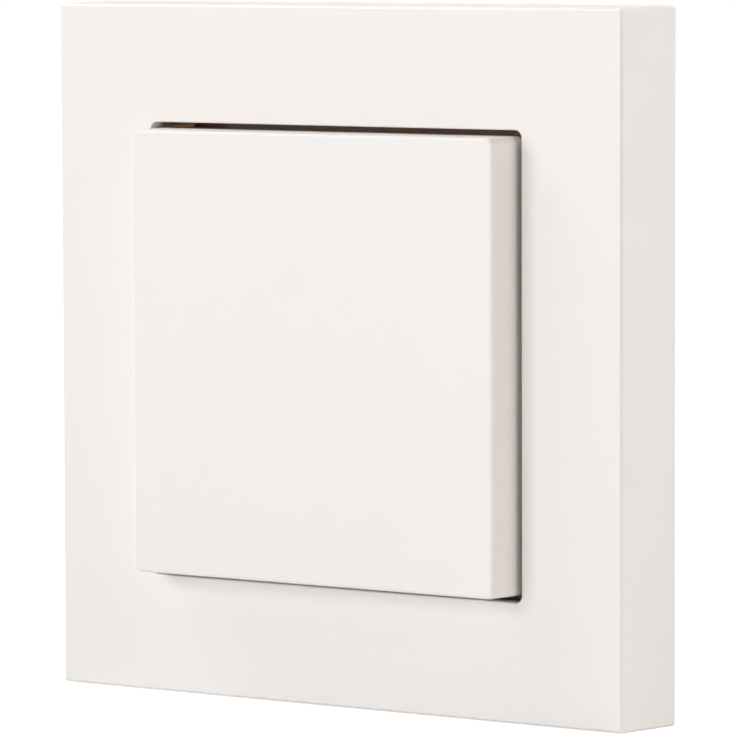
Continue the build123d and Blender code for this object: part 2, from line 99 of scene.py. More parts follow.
camera_data = bpy.data.cameras.new("camera")
camera_data.sensor_width = 36
camera_data.lens = focal_px / image_px * camera_data.sensor_width
camera_data.clip_end = 200
camera = bpy.data.objects.new("camera", camera_data)
camera.matrix_world = Matrix.Translation(camera_place) @ Matrix((right, up, -forward)).transposed().to_4x4()
scene.collection.objects.link(camera)
scene.camera = camera
print("lens in mm:", round(camera_data.lens, 1))

# %% [markdown]
# ## Floor and world
#
# The picture has a white ground with no horizon. The floor is a wide pale sheet at the frame's lower edge. A
# plain white one would need more light to come out white than the switch can take. So to the camera and to
# reflections it shines by itself, while to the lamps it is a pale sheet that throws some light back up. The
# world does the same: white where it is seen, and a calm grey where it lights.

# %% Pale floor
def new_material(name):
    material = bpy.data.materials.new(name)
    material.use_nodes = True
    tree = material.node_tree
    return material, tree, tree.nodes["Principled BSDF"]


def background_rays(tree):
    seen = tree.nodes.new("ShaderNodeLightPath")
    shown = seen.outputs["Is Camera Ray"]
    for other in ("Is Glossy Ray", "Is Transmission Ray"):
        either = tree.nodes.new("ShaderNodeMath")
        either.operation = "MAXIMUM"
        tree.links.new(shown, either.inputs[0])
        tree.links.new(seen.outputs[other], either.inputs[1])
        shown = either.outputs[0]
    return shown


floor_reach = 40.0
floor_colour = 0.8
world_light = 0.1
floor_glow = 1 - floor_colour * world_light
floor_z = cad_low.z
corners = [(-floor_reach, -floor_reach, floor_z), (floor_reach, -floor_reach, floor_z)]
corners += [(floor_reach, floor_reach, floor_z), (-floor_reach, floor_reach, floor_z)]
floor_mesh = bpy.data.meshes.new("floor")
floor_mesh.from_pydata(corners, [], [(0, 1, 2, 3)])
floor = bpy.data.objects.new("floor", floor_mesh)
scene.collection.objects.link(floor)

floor_material, tree, surface = new_material("pale floor")
surface.inputs["Base Color"].default_value = (floor_colour, floor_colour, floor_colour, 1)
surface.inputs["Roughness"].default_value = 0.9
surface.inputs["Specular IOR Level"].default_value = 0.0
surface.inputs["Emission Color"].default_value = (1, 1, 1, 1)
glow = tree.nodes.new("ShaderNodeMath")
glow.operation = "MULTIPLY"
glow.inputs[1].default_value = floor_glow
tree.links.new(background_rays(tree), glow.inputs[0])
tree.links.new(glow.outputs[0], surface.inputs["Emission Strength"])
floor_mesh.materials.append(floor_material)
print("floor at z in mm:", round(floor_z / MM, 2))

# %% World
world = bpy.data.worlds.new("studio")
world.use_nodes = True
scene.world = world
tree = world.node_tree
background = tree.nodes["Background"]
background.inputs["Color"].default_value = (1, 1, 1, 1)
level = tree.nodes.new("ShaderNodeMapRange")
level.inputs["To Min"].default_value = world_light
level.inputs["To Max"].default_value = 1.0
tree.links.new(background_rays(tree), level.inputs["Value"])
tree.links.new(level.outputs["Result"], background.inputs["Strength"])
print("world light:", world_light)

# %% [markdown]
# ## Lamps
#
# One large lamp would light the front and leave the sides grey, so there are six, each with its own job. The
# widest stands in front, a little left of the middle and above it, and one high on the left adds to it. One
# from the right lights the right-hand sides. Two from behind light the sides and the top without touching the
# front. A small one from the upper left draws the bright line along the frame's upper bevel. All are plain
# white squares.

# %% Place the lamps
lamps = {
    # name: (azimuth and elevation in degrees, distance and width in metres, watts)
    "front": (-15, 13, 1.2, 0.8, 8.6),
    "high_left": (-64, 36, 1.2, 0.6, 3.3),
    "right": (84, 15, 1.2, 0.5, 3.2),
    "behind_right": (145, 15, 1.2, 0.6, 4.4),
    "behind_top": (150, 60, 1.2, 0.6, 5.7),
    "top_left": (-83, 53, 1.2, 0.4, 2.5),
}
for name, (azimuth, elevation, distance, width, watts) in lamps.items():
    a, e = math.radians(azimuth), math.radians(elevation)
    back = Vector((math.sin(a) * math.cos(e), -math.cos(a) * math.cos(e), math.sin(e)))
    lamp_data = bpy.data.lights.new(name, "AREA")
    lamp_data.size = width
    lamp_data.energy = watts
    lamp = bpy.data.objects.new(name, lamp_data)
    lamp.location = back * distance
    lamp.rotation_euler = back.to_track_quat("Z", "Y").to_euler()
    scene.collection.objects.link(lamp)
print("lamps:", list(lamps))

# %% [markdown]
# ## The parts of a finish
#
# Every finish below is put together from the same few parts: a noise on the object's own coordinates, a range
# that turns it into a small change of gloss or colour, and a bump. Generated or camera coordinates would
# slide when a piece moves. The object's own are in metres, so sizes are written in millimetres and turned
# round.

# %% Helpers for finishes
def wire(tree, kind, inputs, **settings):
    node = tree.nodes.new(kind)
    for label, value in settings.items():
        setattr(node, label, value)
    for label, value in inputs.items():
        if isinstance(value, bpy.types.NodeSocket):
            tree.links.new(value, node.inputs[label])
        else:
            node.inputs[label].default_value = value
    return node.outputs


def own_coords(tree, stretch=(1, 1, 1)):
    place = wire(tree, "ShaderNodeTexCoord", {})["Object"]
    return wire(tree, "ShaderNodeMapping", {"Vector": place, "Scale": stretch})["Vector"]


def noise(tree, size_mm, detail=2, stretch=(1, 1, 1)):
    inputs = {"Vector": own_coords(tree, stretch), "Scale": 1 / (size_mm * MM), "Detail": detail}
    return wire(tree, "ShaderNodeTexNoise", inputs)["Fac"]


def spread(tree, value, low, high, start=0.3, end=0.7):
    inputs = {"Value": value, "From Min": start, "From Max": end, "To Min": low, "To Max": high}
    return wire(tree, "ShaderNodeMapRange", inputs)["Result"]


def gloss(tree, surface, value, low, high):
    tree.links.new(spread(tree, value, low, high), surface.inputs["Roughness"])


def tint(tree, surface, factor, first, second):
    inputs = {"Factor": factor, "A": (*first, 1), "B": (*second, 1)}
    mixed = wire(tree, "ShaderNodeMix", inputs, data_type="RGBA")["Result"]
    tree.links.new(mixed, surface.inputs["Base Color"])


def paint(tree, surface, mask, colour):
    below = surface.inputs["Base Color"].links[0].from_socket
    inputs = {"Factor": mask, "A": below, "B": (*colour, 1)}
    mixed = wire(tree, "ShaderNodeMix", inputs, data_type="RGBA")["Result"]
    tree.links.new(mixed, surface.inputs["Base Color"])


def disc(tree, away, radius, fades_from=0.9):
    return spread(tree, away, 1, 0, start=radius * fades_from, end=radius)


def press(tree, surface, height, depth_mm):
    raised = wire(tree, "ShaderNodeBump", {"Height": height, "Distance": depth_mm * MM})["Normal"]
    tree.links.new(raised, surface.inputs["Normal"])


# %% [markdown]
# ## White plastic
#
# Frame and rocker are moulded in a warm white plastic. The mould is polished where the faces and their bevels
# are and eroded on the sides. So the face is satin, and the sides have a fine matte grain. Their warmer
# colour
# is painted shade: the warm light that bounces between the white parts where they are shaded. Two materials
# would need the faces of the mesh sorted, so one does both: the direction of the surface, in the object's own
# coordinates, says which it is.

# %% Satin face and grained sides
side_until, face_from = 0.3, 0.65
cloud_mm, cloud_shift, white_grain_mm = 12, 0.04, 0.2


def white_plastic(name, face, side):
    material, tree, surface = new_material(name)
    direction = wire(tree, "ShaderNodeTexCoord", {})["Normal"]
    depth_way = wire(tree, "ShaderNodeSeparateXYZ", {"Vector": direction})["Y"]
    facing = wire(tree, "ShaderNodeMath", {0: depth_way}, operation="ABSOLUTE")[0]
    face_share = spread(tree, facing, 0, 1, side_until, face_from)

    def by_side(label):
        return spread(tree, face_share, side[label], face[label], 0, 1)

    cloud = spread(tree, noise(tree, cloud_mm), -cloud_shift, cloud_shift)
    rough = wire(tree, "ShaderNodeMath", {0: by_side("rough"), 1: cloud}, operation="ADD")[0]
    tree.links.new(rough, surface.inputs["Roughness"])
    inputs = {0: noise(tree, white_grain_mm, detail=3), 1: by_side("grain_mm")}
    grain = wire(tree, "ShaderNodeMath", inputs, operation="MULTIPLY")[0]
    press(tree, surface, grain, depth_mm=1.0)
    # The sides' warmer colour is painted shade: the warm light bounced between white parts where they are
    # shaded.
    tint(tree, surface, face_share, side["colour"], face["colour"])
    return material


white = (0.87, 0.835, 0.81)
cover_face = {"colour": white, "rough": 0.36, "grain_mm": 0.004}
# The side colours are painted warm shade; the rocker's is warmer, as its side is lit mostly from the frame's
# front.
cover_side_grain_and_warm_shade = {"colour": (0.872, 0.825, 0.786), "rough": 0.6, "grain_mm": 0.03}
rocker_face = {"colour": white, "rough": 0.32, "grain_mm": 0.003}
rocker_side_grain_and_warm_shade = {"colour": (0.9, 0.844, 0.797), "rough": 0.45, "grain_mm": 0.01}
finishes = {
    "cover_white": white_plastic("cover white", cover_face, cover_side_grain_and_warm_shade),
    "rocker_white": white_plastic("rocker white", rocker_face, rocker_side_grain_and_warm_shade),
}
print("white plastics:", list(finishes))

# %% [markdown]
# ## Inner plastics
#
# The plate's brown is painted shade: it gives the warm brown of the shade deep in the slit round the
# rocker. The module's shells are grey, the bobbin black and the lever a slippery cream plastic. They share
# one recipe: an eroded grain, and a slow cloud that shifts gloss and shade a little, as moulded plastic
# does near its gate.

# %% Moulded plastics
gate_cloud_mm, gate_shift = 9, 0.06


def moulded(name, colour, roughness, grain_mm, depth_mm, shade):
    material, tree, surface = new_material(name)
    cloud = noise(tree, gate_cloud_mm)
    gloss(tree, surface, cloud, roughness - gate_shift, roughness + gate_shift)
    tint(tree, surface, spread(tree, cloud, 0, 1), [c * shade for c in colour], colour)
    press(tree, surface, noise(tree, grain_mm, detail=3), depth_mm)
    return material


plastics = {
    # slot: (name, colour, roughness, size and depth of the grain in mm, shade in the clouds)
    # The plate's brown is painted shade, for the warm shade deep in the slit.
    "plate_dark": ("plate brown painted shade", (0.56, 0.37, 0.28), 0.55, 0.3, 0.02, 0.96),
    "module_grey": ("module grey", (0.36, 0.36, 0.35), 0.5, 0.25, 0.012, 0.93),
    "bobbin_black": ("bobbin black", (0.025, 0.025, 0.027), 0.4, 0.2, 0.006, 0.8),
    "lever_cream": ("lever cream", (0.8, 0.74, 0.6), 0.32, 0.5, 0.004, 0.96),
    "chip_black": ("chip black", (0.03, 0.03, 0.033), 0.6, 0.08, 0.006, 0.7),
}
for slot, recipe in plastics.items():
    finishes[slot] = moulded(*recipe)
print("plastics:", list(plastics))

# %% [markdown]
# ## Metals
#
# Sheet and wire keep the lines of the roll or the die that made them. A noise that is drawn out along one
# axis gives such lines. They shift the gloss more than the colour, so the metal changes as the light moves.
# The coil's wire has a coat of clear enamel as well.

# %% Rolled and drawn metals
smoother, rougher, line_depth_mm, stain_mm = 0.08, 0.1, 0.004, 4


def drawn_metal(name, colour, roughness, line_mm, stretch, shade):
    material, tree, surface = new_material(name)
    surface.inputs["Metallic"].default_value = 1.0
    lines = noise(tree, line_mm, 3, stretch)
    gloss(tree, surface, lines, roughness - smoother, roughness + rougher)
    tint(tree, surface, spread(tree, noise(tree, stain_mm), 0, 1), [c * shade for c in colour], colour)
    press(tree, surface, lines, line_depth_mm)
    return material


along_x, along_z, every_way = (0.05, 1, 1), (1, 1, 0.05), (1, 1, 1)
metals = {
    # slot: (name, colour, roughness, line in mm, way of the lines, shade in the stains)
    "spring_bronze": ("spring bronze", (0.92, 0.58, 0.32), 0.68, 0.12, along_x, 0.8),
    "wire_steel": ("antenna steel", (0.6, 0.59, 0.57), 0.3, 0.1, along_z, 0.85),
    "axle_steel": ("axle steel", (0.66, 0.65, 0.64), 0.2, 0.08, along_x, 0.9),
    "crystal_can": ("crystal can", (0.7, 0.68, 0.63), 0.26, 0.1, along_x, 0.9),
    "magnet_nickel": ("magnet nickel", (0.68, 0.65, 0.6), 0.18, 0.3, every_way, 0.92),
    "core_iron": ("core iron", (0.3, 0.3, 0.31), 0.45, 0.15, along_x, 0.75),
    "coil_copper": ("coil copper", (0.75, 0.3, 0.12), 0.28, 0.2, every_way, 0.8),
}
for slot, recipe in metals.items():
    finishes[slot] = drawn_metal(*recipe)
finishes["coil_copper"].node_tree.nodes["Principled BSDF"].inputs["Coat Weight"].default_value = 0.6
print("metals:", list(metals))

# %% [markdown]
# ## Board, capacitors and foam
#
# The board shows its glass weave faintly through the green lacquer: two waves, one along each thread. Its
# vias are small tinned rings: a Voronoi texture gives the distance from scattered points, and two sizes of
# disc draw the ring and its hole, whose black is painted shade. A capacitor is a block of amber resin with a
# dark bar at its plus end. The pads are closed-cell foam, and a Voronoi texture has just the shape of such
# cells too. Each cell is darker in its middle, where the bump sinks it: painted shade in the pit.

# %% Board green
# The black in each via's hole is painted shade for its dark inside.
tin, via_hole_painted_shade, hole_share = (0.55, 0.53, 0.47), (0.01, 0.01, 0.01), 0.45
wave_repeat, weave_shade, weave_depth_mm = 0.31, 0.8, 0.006


def woven_board(name, colour, thread_mm, via_mm, via_apart_mm):
    material, tree, surface = new_material(name)
    threads = []
    for way in ("X", "Z"):
        inputs = {"Vector": own_coords(tree), "Scale": wave_repeat / (thread_mm * MM), "Distortion": 0.6}
        threads.append(wire(tree, "ShaderNodeTexWave", inputs, bands_direction=way)["Fac"])
    weave = wire(tree, "ShaderNodeMath", {0: threads[0], 1: threads[1]}, operation="MULTIPLY")[0]
    tint(tree, surface, weave, [c * weave_shade for c in colour], colour)
    across = wire(tree, "ShaderNodeSeparateXYZ", {"Vector": own_coords(tree)})
    flat = wire(tree, "ShaderNodeCombineXYZ", {"X": across["X"], "Y": across["Z"]})["Vector"]
    inputs = {"Vector": flat, "Scale": 1 / (via_apart_mm * MM), "Randomness": 0.8}
    from_via = wire(tree, "ShaderNodeTexVoronoi", inputs, voronoi_dimensions="2D")["Distance"]
    for size_mm, finish in ((via_mm, tin), (via_mm * hole_share, via_hole_painted_shade)):
        paint(tree, surface, disc(tree, from_via, size_mm / 2 / via_apart_mm), finish)
    gloss(tree, surface, noise(tree, size_mm=3), low=0.24, high=0.36)
    surface.inputs["Coat Weight"].default_value = 0.4
    press(tree, surface, weave, weave_depth_mm)
    return material


green = (0.03, 0.2, 0.08)
finishes["board_green"] = woven_board("board green", green, thread_mm=0.45, via_mm=0.6, via_apart_mm=3.2)
print("board:", finishes["board_green"].name)

# %% Capacitor amber
amber, bar_brown = (0.72, 0.36, 0.06), (0.3, 0.1, 0.02)
bar_width, bar_blur = 1.3 * MM, 0.05 * MM
bar_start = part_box("storage_capacitors")[1].x - bar_width
material, tree, surface = new_material("capacitor amber")
along = wire(tree, "ShaderNodeSeparateXYZ", {"Vector": own_coords(tree)})["X"]
tint(tree, surface, spread(tree, along, 0, 1, bar_start, bar_start + bar_blur), amber, bar_brown)
gloss(tree, surface, noise(tree, size_mm=2), low=0.35, high=0.5)
press(tree, surface, noise(tree, size_mm=0.15, detail=3), depth_mm=0.005)
finishes["capacitor_amber"] = material
print("capacitor bar from x in mm:", round(bar_start / MM, 2))

# %% Pad foam
cell_mm = 0.35
cell_pit_painted_shade, cell_light = (0.7, 0.69, 0.66), (0.8, 0.79, 0.76)
material, tree, surface = new_material("pad foam")
inputs = {"Vector": own_coords(tree), "Scale": 1 / (cell_mm * MM)}
cells = wire(tree, "ShaderNodeTexVoronoi", inputs)["Distance"]
# Painted shade: each cell is darker near its middle, where the bump makes a pit.
tint(tree, surface, spread(tree, cells, 0, 1, start=0.1, end=0.6), cell_pit_painted_shade, cell_light)
gloss(tree, surface, noise(tree, size_mm=5), low=0.75, high=0.9)
press(tree, surface, cells, depth_mm=0.05)
finishes["pad_foam"] = material
print("finishes:", len(finishes))

# %% [markdown]
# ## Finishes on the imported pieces
#
# The record says which slot each piece has, so one loop dresses them all.

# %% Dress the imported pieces
for entry in frame["record"]["subparts"]:
    slots = frame["nodes"][entry["node"]].data.materials
    slots.clear()
    slots.append(finishes[entry["material_slot"]])

# %% [markdown]
# ## Drawn pieces
#
# Some pieces below are drawn corner by corner. Three helpers serve them: one joins two like outlines into a
# prism, one turns the drawing into a mesh, and one turns that mesh into a piece with its finish. Blender's
# own extrude would make the prism too, but it leaves the order of the faces open. This way each run gives the
# same mesh.

# %% Helpers for drawn pieces
def add_prism(shell, first, last):
    ends = []
    for spots in (first, last):
        ends.append([shell.verts.new(spot) for spot in spots])
        shell.faces.new(ends[-1])
    for k in range(len(first)):
        after = (k + 1) % len(first)
        shell.faces.new((ends[0][k], ends[0][after], ends[1][after], ends[1][k]))


def take_mesh(name, shell):
    mesh = bpy.data.meshes.new(name)
    shell.to_mesh(mesh)
    shell.free()
    return mesh


def new_piece(name, shell, finish):
    mesh = take_mesh(name, shell)
    mesh.materials.append(finish)
    made = bpy.data.objects.new(name, mesh)
    scene.collection.objects.link(made)
    return made


# %% [markdown]
# ## Foam pads
#
# Two die-cut foam pads hold the plate on a smooth wall. Foam that was cut has soft edges: it swells a little
# in the middle, and its sides draw in between the corners. A bevelled box would be too stiff, so each pad is
# a closed skin of two sheets whose height falls off towards the edge, with a slight unevenness from a noise.

# %% Two soft pads
def soft_pad(low, high, steps_x, steps_z):
    half_x, half_z = (high.x - low.x) / 2, (high.z - low.z) / 2
    middle = (low + high) / 2
    thick = high.y - low.y
    soft_edge, drawn_in, uneven = 0.9 * MM, 0.25 * MM, 0.03 * MM
    waves_per_mm, same_place = 0.4, 1e-7

    def skin(i, j, side):
        u, v = 2 * i / steps_x - 1, 2 * j / steps_z - 1
        u, v = math.sin(u * math.pi / 2), math.sin(v * math.pi / 2)
        x = u * (half_x - drawn_in * (1 - v * v))
        z = v * (half_z - drawn_in * (1 - u * u))
        inside = min(half_x * (1 - abs(u)), half_z * (1 - abs(v)))
        rise = math.sqrt(max(0.0, 1 - (1 - min(1.0, inside / soft_edge)) ** 2))
        rough = uneven * (0.5 + 0.5 * cloudy.noise(Vector((x, side, z)) / MM * waves_per_mm)) * rise
        return middle + Vector((x, side * (thick / 2 * rise - rough), z))

    shell = bmesh.new()
    sheets = {}
    for side in (-1, 1):
        for i in range(steps_x + 1):
            for j in range(steps_z + 1):
                sheets[side, i, j] = shell.verts.new(skin(i, j, side))
        for i in range(steps_x):
            for j in range(steps_z):
                ring = [sheets[side, i + a, j + b] for a, b in ((0, 0), (1, 0), (1, 1), (0, 1))]
                shell.faces.new(ring if side < 0 else ring[::-1])
    bmesh.ops.remove_doubles(shell, verts=shell.verts, dist=same_place)
    bmesh.ops.recalc_face_normals(shell, faces=shell.faces)
    for face in shell.faces:
        face.smooth = True
    return shell


pads_low, pads_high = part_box("adhesive_pads")
pad_height = 12 * MM
pad_spans = {"lower": (pads_low.z, pads_low.z + pad_height), "upper": (pads_high.z - pad_height, pads_high.z)}
pads = []
for label, (foot, head) in pad_spans.items():
    pad_low, pad_high = Vector((pads_low.x, pads_low.y, foot)), Vector((pads_high.x, pads_high.y, head))
    shell = soft_pad(pad_low, pad_high, steps_x=72, steps_z=28)
    pad = new_piece(f"foam_pad_{label}", shell, finishes["pad_foam"])
    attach(pad, "base")
    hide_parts("adhesive_pads")
    pads.append(pad)
print("pads:", [p.name for p in pads], "faces:", [len(p.data.polygons) for p in pads])

# %% [markdown]
# ## Lips behind the opening
#
# Through the slit above the rocker the opening's left edge is seen from the side: light in front, and brown
# further in. So the frame's thin face has a lip there that runs back from the opening. Left and right are
# alike. A straight wall would do, but a moulded lip tapers and has a round rim, so its outline is drawn and
# then pulled along the edge.

# %% Two tapered lips
opening_half, face_thick = 27.5 * MM, 2.2 * MM
lip_depth, lip_root, lip_rim, lip_reach = 2.6 * MM, 0.8 * MM, 0.6 * MM, 27.4 * MM
rim_steps = 10
face_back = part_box("cover_frame")[0].y + face_thick
rim_radius = lip_rim / 2
outline = [(lip_root, 0), (0, 0)]
for k in range(rim_steps + 1):
    angle = math.pi * k / rim_steps
    out = rim_radius - rim_radius * math.cos(angle)
    outline.append((out, lip_depth - rim_radius + rim_radius * math.sin(angle)))

lips = bmesh.new()
for side in (-1, 1):
    spots = [(side * (opening_half + out), face_back + back) for out, back in outline]
    add_prism(lips, [(x, y, -lip_reach) for x, y in spots], [(x, y, lip_reach) for x, y in spots])
bmesh.ops.recalc_face_normals(lips, faces=lips.faces)
lip = new_piece("opening_lips", lips, finishes["cover_white"])
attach(lip, "base")
print("lips:", len(lip.data.polygons), "faces")

# %% [markdown]
# ## Growing things with nodes
#
# Turns of wire, legs and stacked sheets repeat by a rule, so Geometry Nodes make them. Each tree has named
# inputs for its sizes. The last helper runs a tree on a carrier object, takes the plain mesh out and removes
# the modifier, so that what is left is an ordinary mesh.

# %% Helpers for node trees
FLOAT, WHOLE, PLACE = "NodeSocketFloat", "NodeSocketInt", "NodeSocketVector"
SHAPE, FINISH = "NodeSocketGeometry", "NodeSocketMaterial"


def new_tree(name, **inputs):
    tree = bpy.data.node_groups.new(name, "GeometryNodeTree")
    tree.interface.new_socket("Geometry", in_out="OUTPUT", socket_type=SHAPE)
    tree.interface.new_socket("Geometry", in_out="INPUT", socket_type=SHAPE)
    for label, kind in inputs.items():
        tree.interface.new_socket(label, in_out="INPUT", socket_type=kind)
    tree.interface.new_socket("Finish", in_out="INPUT", socket_type=FINISH)
    return tree, tree.nodes.new("NodeGroupInput").outputs


def end_tree(tree, given, shape):
    plain = wire(tree, "GeometryNodeRealizeInstances", {"Geometry": shape})["Geometry"]
    inputs = {"Geometry": plain, "Material": given["Finish"]}
    painted = wire(tree, "GeometryNodeSetMaterial", inputs)["Geometry"]
    tree.links.new(painted, tree.nodes.new("NodeGroupOutput").inputs["Geometry"])


def grow(name, tree, seed_mesh, **values):
    carrier = bpy.data.objects.new(name, seed_mesh)
    scene.collection.objects.link(carrier)
    modifier = carrier.modifiers.new(name, "NODES")
    modifier.node_group = tree
    sockets = {s.name: s.identifier for s in tree.interface.items_tree if s.in_out == "INPUT"}
    for label, value in values.items():
        modifier[sockets[label]] = value
    evaluated = carrier.evaluated_get(bpy.context.evaluated_depsgraph_get())
    grown = bpy.data.meshes.new_from_object(evaluated)
    carrier.modifiers.remove(modifier)
    carrier.data = grown
    grown.name = name
    return carrier


# %% [markdown]
# ## Coil
#
# The generator's coil is enamelled copper wire, wound close between the bobbin's flanges. A spiral curve with
# a round profile gives the outer layer. The layers under it can't be seen, so a plain ring fills their room.

# %% Wind the coil
turn_steps, wire_sides = 28, 8
tree, given = new_tree("coil_rule", Wire=FLOAT, Turns=FLOAT, Radius=FLOAT, Length=FLOAT, Centre=PLACE)
inputs = {"Resolution": turn_steps, "Rotations": given["Turns"], "Start Radius": given["Radius"],
          "End Radius": given["Radius"], "Height": given["Length"]}
path = wire(tree, "GeometryNodeCurveSpiral", inputs)["Curve"]
inputs = {"Resolution": wire_sides, "Radius": given["Wire"]}
section = wire(tree, "GeometryNodeCurvePrimitiveCircle", inputs)["Curve"]
inputs = {"Curve": path, "Profile Curve": section, "Fill Caps": True}
turns = wire(tree, "GeometryNodeCurveToMesh", inputs)["Mesh"]
turns = wire(tree, "GeometryNodeTransform", {"Geometry": turns, "Translation": given["Centre"]})["Geometry"]
turns = wire(tree, "GeometryNodeSetShadeSmooth", {"Geometry": turns})["Geometry"]
both = tree.nodes.new("GeometryNodeJoinGeometry")
tree.links.new(turns, both.inputs["Geometry"])
tree.links.new(given["Geometry"], both.inputs["Geometry"])
end_tree(tree, given, both.outputs["Geometry"])


def ring_mesh(name, centre, inner, outer, length, steps):
    ring = bmesh.new()
    loops = []
    for k in range(steps):
        angle = 2 * math.pi * k / steps
        spoke = Vector((math.cos(angle), math.sin(angle), 0))
        corners = ((inner, 0), (outer, 0), (outer, length), (inner, length))
        loops.append([ring.verts.new(centre + spoke * r + Vector((0, 0, z))) for r, z in corners])
    for k in range(steps):
        here, after = loops[k], loops[(k + 1) % steps]
        for c in range(4):
            ring.faces.new((here[c], after[c], after[(c + 1) % 4], here[(c + 1) % 4]))
    bmesh.ops.recalc_face_normals(ring, faces=ring.faces)
    return take_mesh(name, ring)


coil_low, coil_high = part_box("coil_winding")
wire_mm, turn_count = 0.2, 39
coil_outer = (coil_high.x - coil_low.x) / 2
coil_hub = 1.79 * MM
coil_length = coil_high.z - coil_low.z
coil_foot = Vector(((coil_low.x + coil_high.x) / 2, (coil_low.y + coil_high.y) / 2, coil_low.z))
wire_radius = wire_mm / 2 * MM
under = ring_mesh("coil", coil_foot, coil_hub, coil_outer - wire_radius, coil_length, steps=48)
coil = grow("coil_turns", tree, under, Wire=wire_radius, Turns=float(turn_count),
            Radius=coil_outer - wire_radius, Length=coil_length - 2 * wire_radius,
            Centre=coil_foot + Vector((0, 0, wire_radius)), Finish=finishes["coil_copper"])
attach(coil, "base")
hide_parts("coil_winding")
print("coil turns:", turn_count, "faces:", len(coil.data.polygons))

# %% [markdown]
# ## Iron core
#
# A core that works with quick changes of its field is stacked from thin lacquered sheets. One sheet of each
# half is drawn as an outline and given its thickness, and a node tree stacks copies of it along the depth.

# %% Stack the core sheets
tree, given = new_tree("stack_rule", Count=WHOLE, Step=PLACE)
inputs = {"Count": given["Count"], "Offset": given["Step"]}
row = wire(tree, "GeometryNodeMeshLine", inputs, mode="OFFSET")["Mesh"]
inputs = {"Points": row, "Instance": given["Geometry"]}
stack = wire(tree, "GeometryNodeInstanceOnPoints", inputs)["Instances"]
end_tree(tree, given, stack)

core_low, core_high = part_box("core_halves")
sheet_count, sheet_gap = 5, 0.03 * MM
sheet_step = (core_high.y - core_low.y) / sheet_count
sheet_thick = sheet_step - sheet_gap
leg_width, back_width, joint = 2.0 * MM, 2.38 * MM, 0.05 * MM
core_middle = (core_low.z + core_high.z) / 2
core_reach = core_high.z - core_middle
back_inside, leg_inside = core_low.x + back_width, core_reach - leg_width
outline = [(core_low.x, joint / 2), (back_inside, joint / 2), (back_inside, leg_inside),
           (core_high.x, leg_inside), (core_high.x, core_reach), (core_low.x, core_reach)]
sheets = bmesh.new()
sheet_back, sheet_front = core_high.y, core_high.y - sheet_thick
for way in (1, -1):
    spots = [(x, core_middle + way * z) for x, z in outline]
    add_prism(sheets, [(x, sheet_back, z) for x, z in spots], [(x, sheet_front, z) for x, z in spots])
bmesh.ops.recalc_face_normals(sheets, faces=sheets.faces)
sheet_mesh = take_mesh("core_sheet", sheets)
core = grow("core_sheets", tree, sheet_mesh, Count=sheet_count, Step=(0, -sheet_step, 0),
            Finish=finishes["core_iron"])
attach(core, "base")
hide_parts("core_halves")
print("core sheets:", sheet_count, "faces:", len(core.data.polygons))

# %% [markdown]
# ## Legs on the board
#
# Every part on the board stands on tinned legs or end caps. A leg leaves the body above the board and swings
# down to it, so its line is one Bezier curve with a flat profile. The tree sets a row of them on each side.

# %% Rule for two rows of legs
tree, given = new_tree("leg_rule", Count=WHOLE, Pitch=FLOAT, Apart=FLOAT, Reach=FLOAT, Rise=FLOAT,
                       Width=FLOAT, Thick=FLOAT, Turn=FLOAT, Centre=PLACE)


def place(tree, x=0.0, y=0.0, z=0.0):
    return wire(tree, "ShaderNodeCombineXYZ", {"X": x, "Y": y, "Z": z})["Vector"]


def times(tree, value, factor):
    return wire(tree, "ShaderNodeMath", {0: value, 1: factor}, operation="MULTIPLY")[0]


leg_steps, leaves_at, lands_at = 8, 0.5, 0.3
foot_up = times(tree, given["Thick"], -0.5)
body_up = times(tree, given["Rise"], -1.0)
leaving, landing = times(tree, given["Reach"], leaves_at), times(tree, given["Reach"], lands_at)
inputs = {"Resolution": leg_steps, "Start": place(tree, y=body_up),
          "Start Handle": place(tree, y=body_up, z=leaving), "End Handle": place(tree, y=foot_up, z=landing),
          "End": place(tree, y=foot_up, z=given["Reach"])}
line = wire(tree, "GeometryNodeCurvePrimitiveBezierSegment", inputs)["Curve"]
inputs = {"Width": given["Thick"], "Height": given["Width"]}
flat = wire(tree, "GeometryNodeCurvePrimitiveQuadrilateral", inputs)["Curve"]
leg = wire(tree, "GeometryNodeCurveToMesh", {"Curve": line, "Profile Curve": flat, "Fill Caps": True})["Mesh"]
span = times(tree, wire(tree, "ShaderNodeMath", {0: given["Count"], 1: 1.0}, operation="SUBTRACT")[0], -0.5)
inputs = {"Count": given["Count"], "Offset": place(tree, x=given["Pitch"]),
          "Start Location": place(tree, x=times(tree, span, given["Pitch"]), z=given["Apart"])}
row = wire(tree, "GeometryNodeMeshLine", inputs, mode="OFFSET")["Mesh"]
one_side = wire(tree, "GeometryNodeInstanceOnPoints", {"Points": row, "Instance": leg})["Instances"]
inputs = {"Geometry": one_side, "Rotation": (0, math.pi, 0)}
other_side = wire(tree, "GeometryNodeTransform", inputs)["Geometry"]
pair = tree.nodes.new("GeometryNodeJoinGeometry")
tree.links.new(one_side, pair.inputs["Geometry"])
tree.links.new(other_side, pair.inputs["Geometry"])
inputs = {"Geometry": pair.outputs["Geometry"], "Rotation": place(tree, y=given["Turn"]),
          "Translation": given["Centre"]}
end_tree(tree, given, wire(tree, "GeometryNodeTransform", inputs)["Geometry"])
leg_tree = tree
print("leg rule:", len(leg_tree.nodes), "nodes")

# %% Set the legs
board_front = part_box("circuit_board")[0].y
quarter = math.pi / 2
leg_thick = 0.12 * MM
leg_rows = [
    # piece, legs a row, then pitch, reach, rise and width in mm, and the turn of the two rows
    ("radio_chip", 9, 0.55, 0.35, 0.25, 0.28, 0.0),
    ("radio_chip", 9, 0.55, 0.35, 0.25, 0.28, quarter),
    ("power_chip", 4, 1.15, 0.9, 0.75, 0.42, 0.0),
    ("crystal", 2, 2.0, 0.25, 0.12, 0.7, quarter),
]
tinned = bmesh.new()


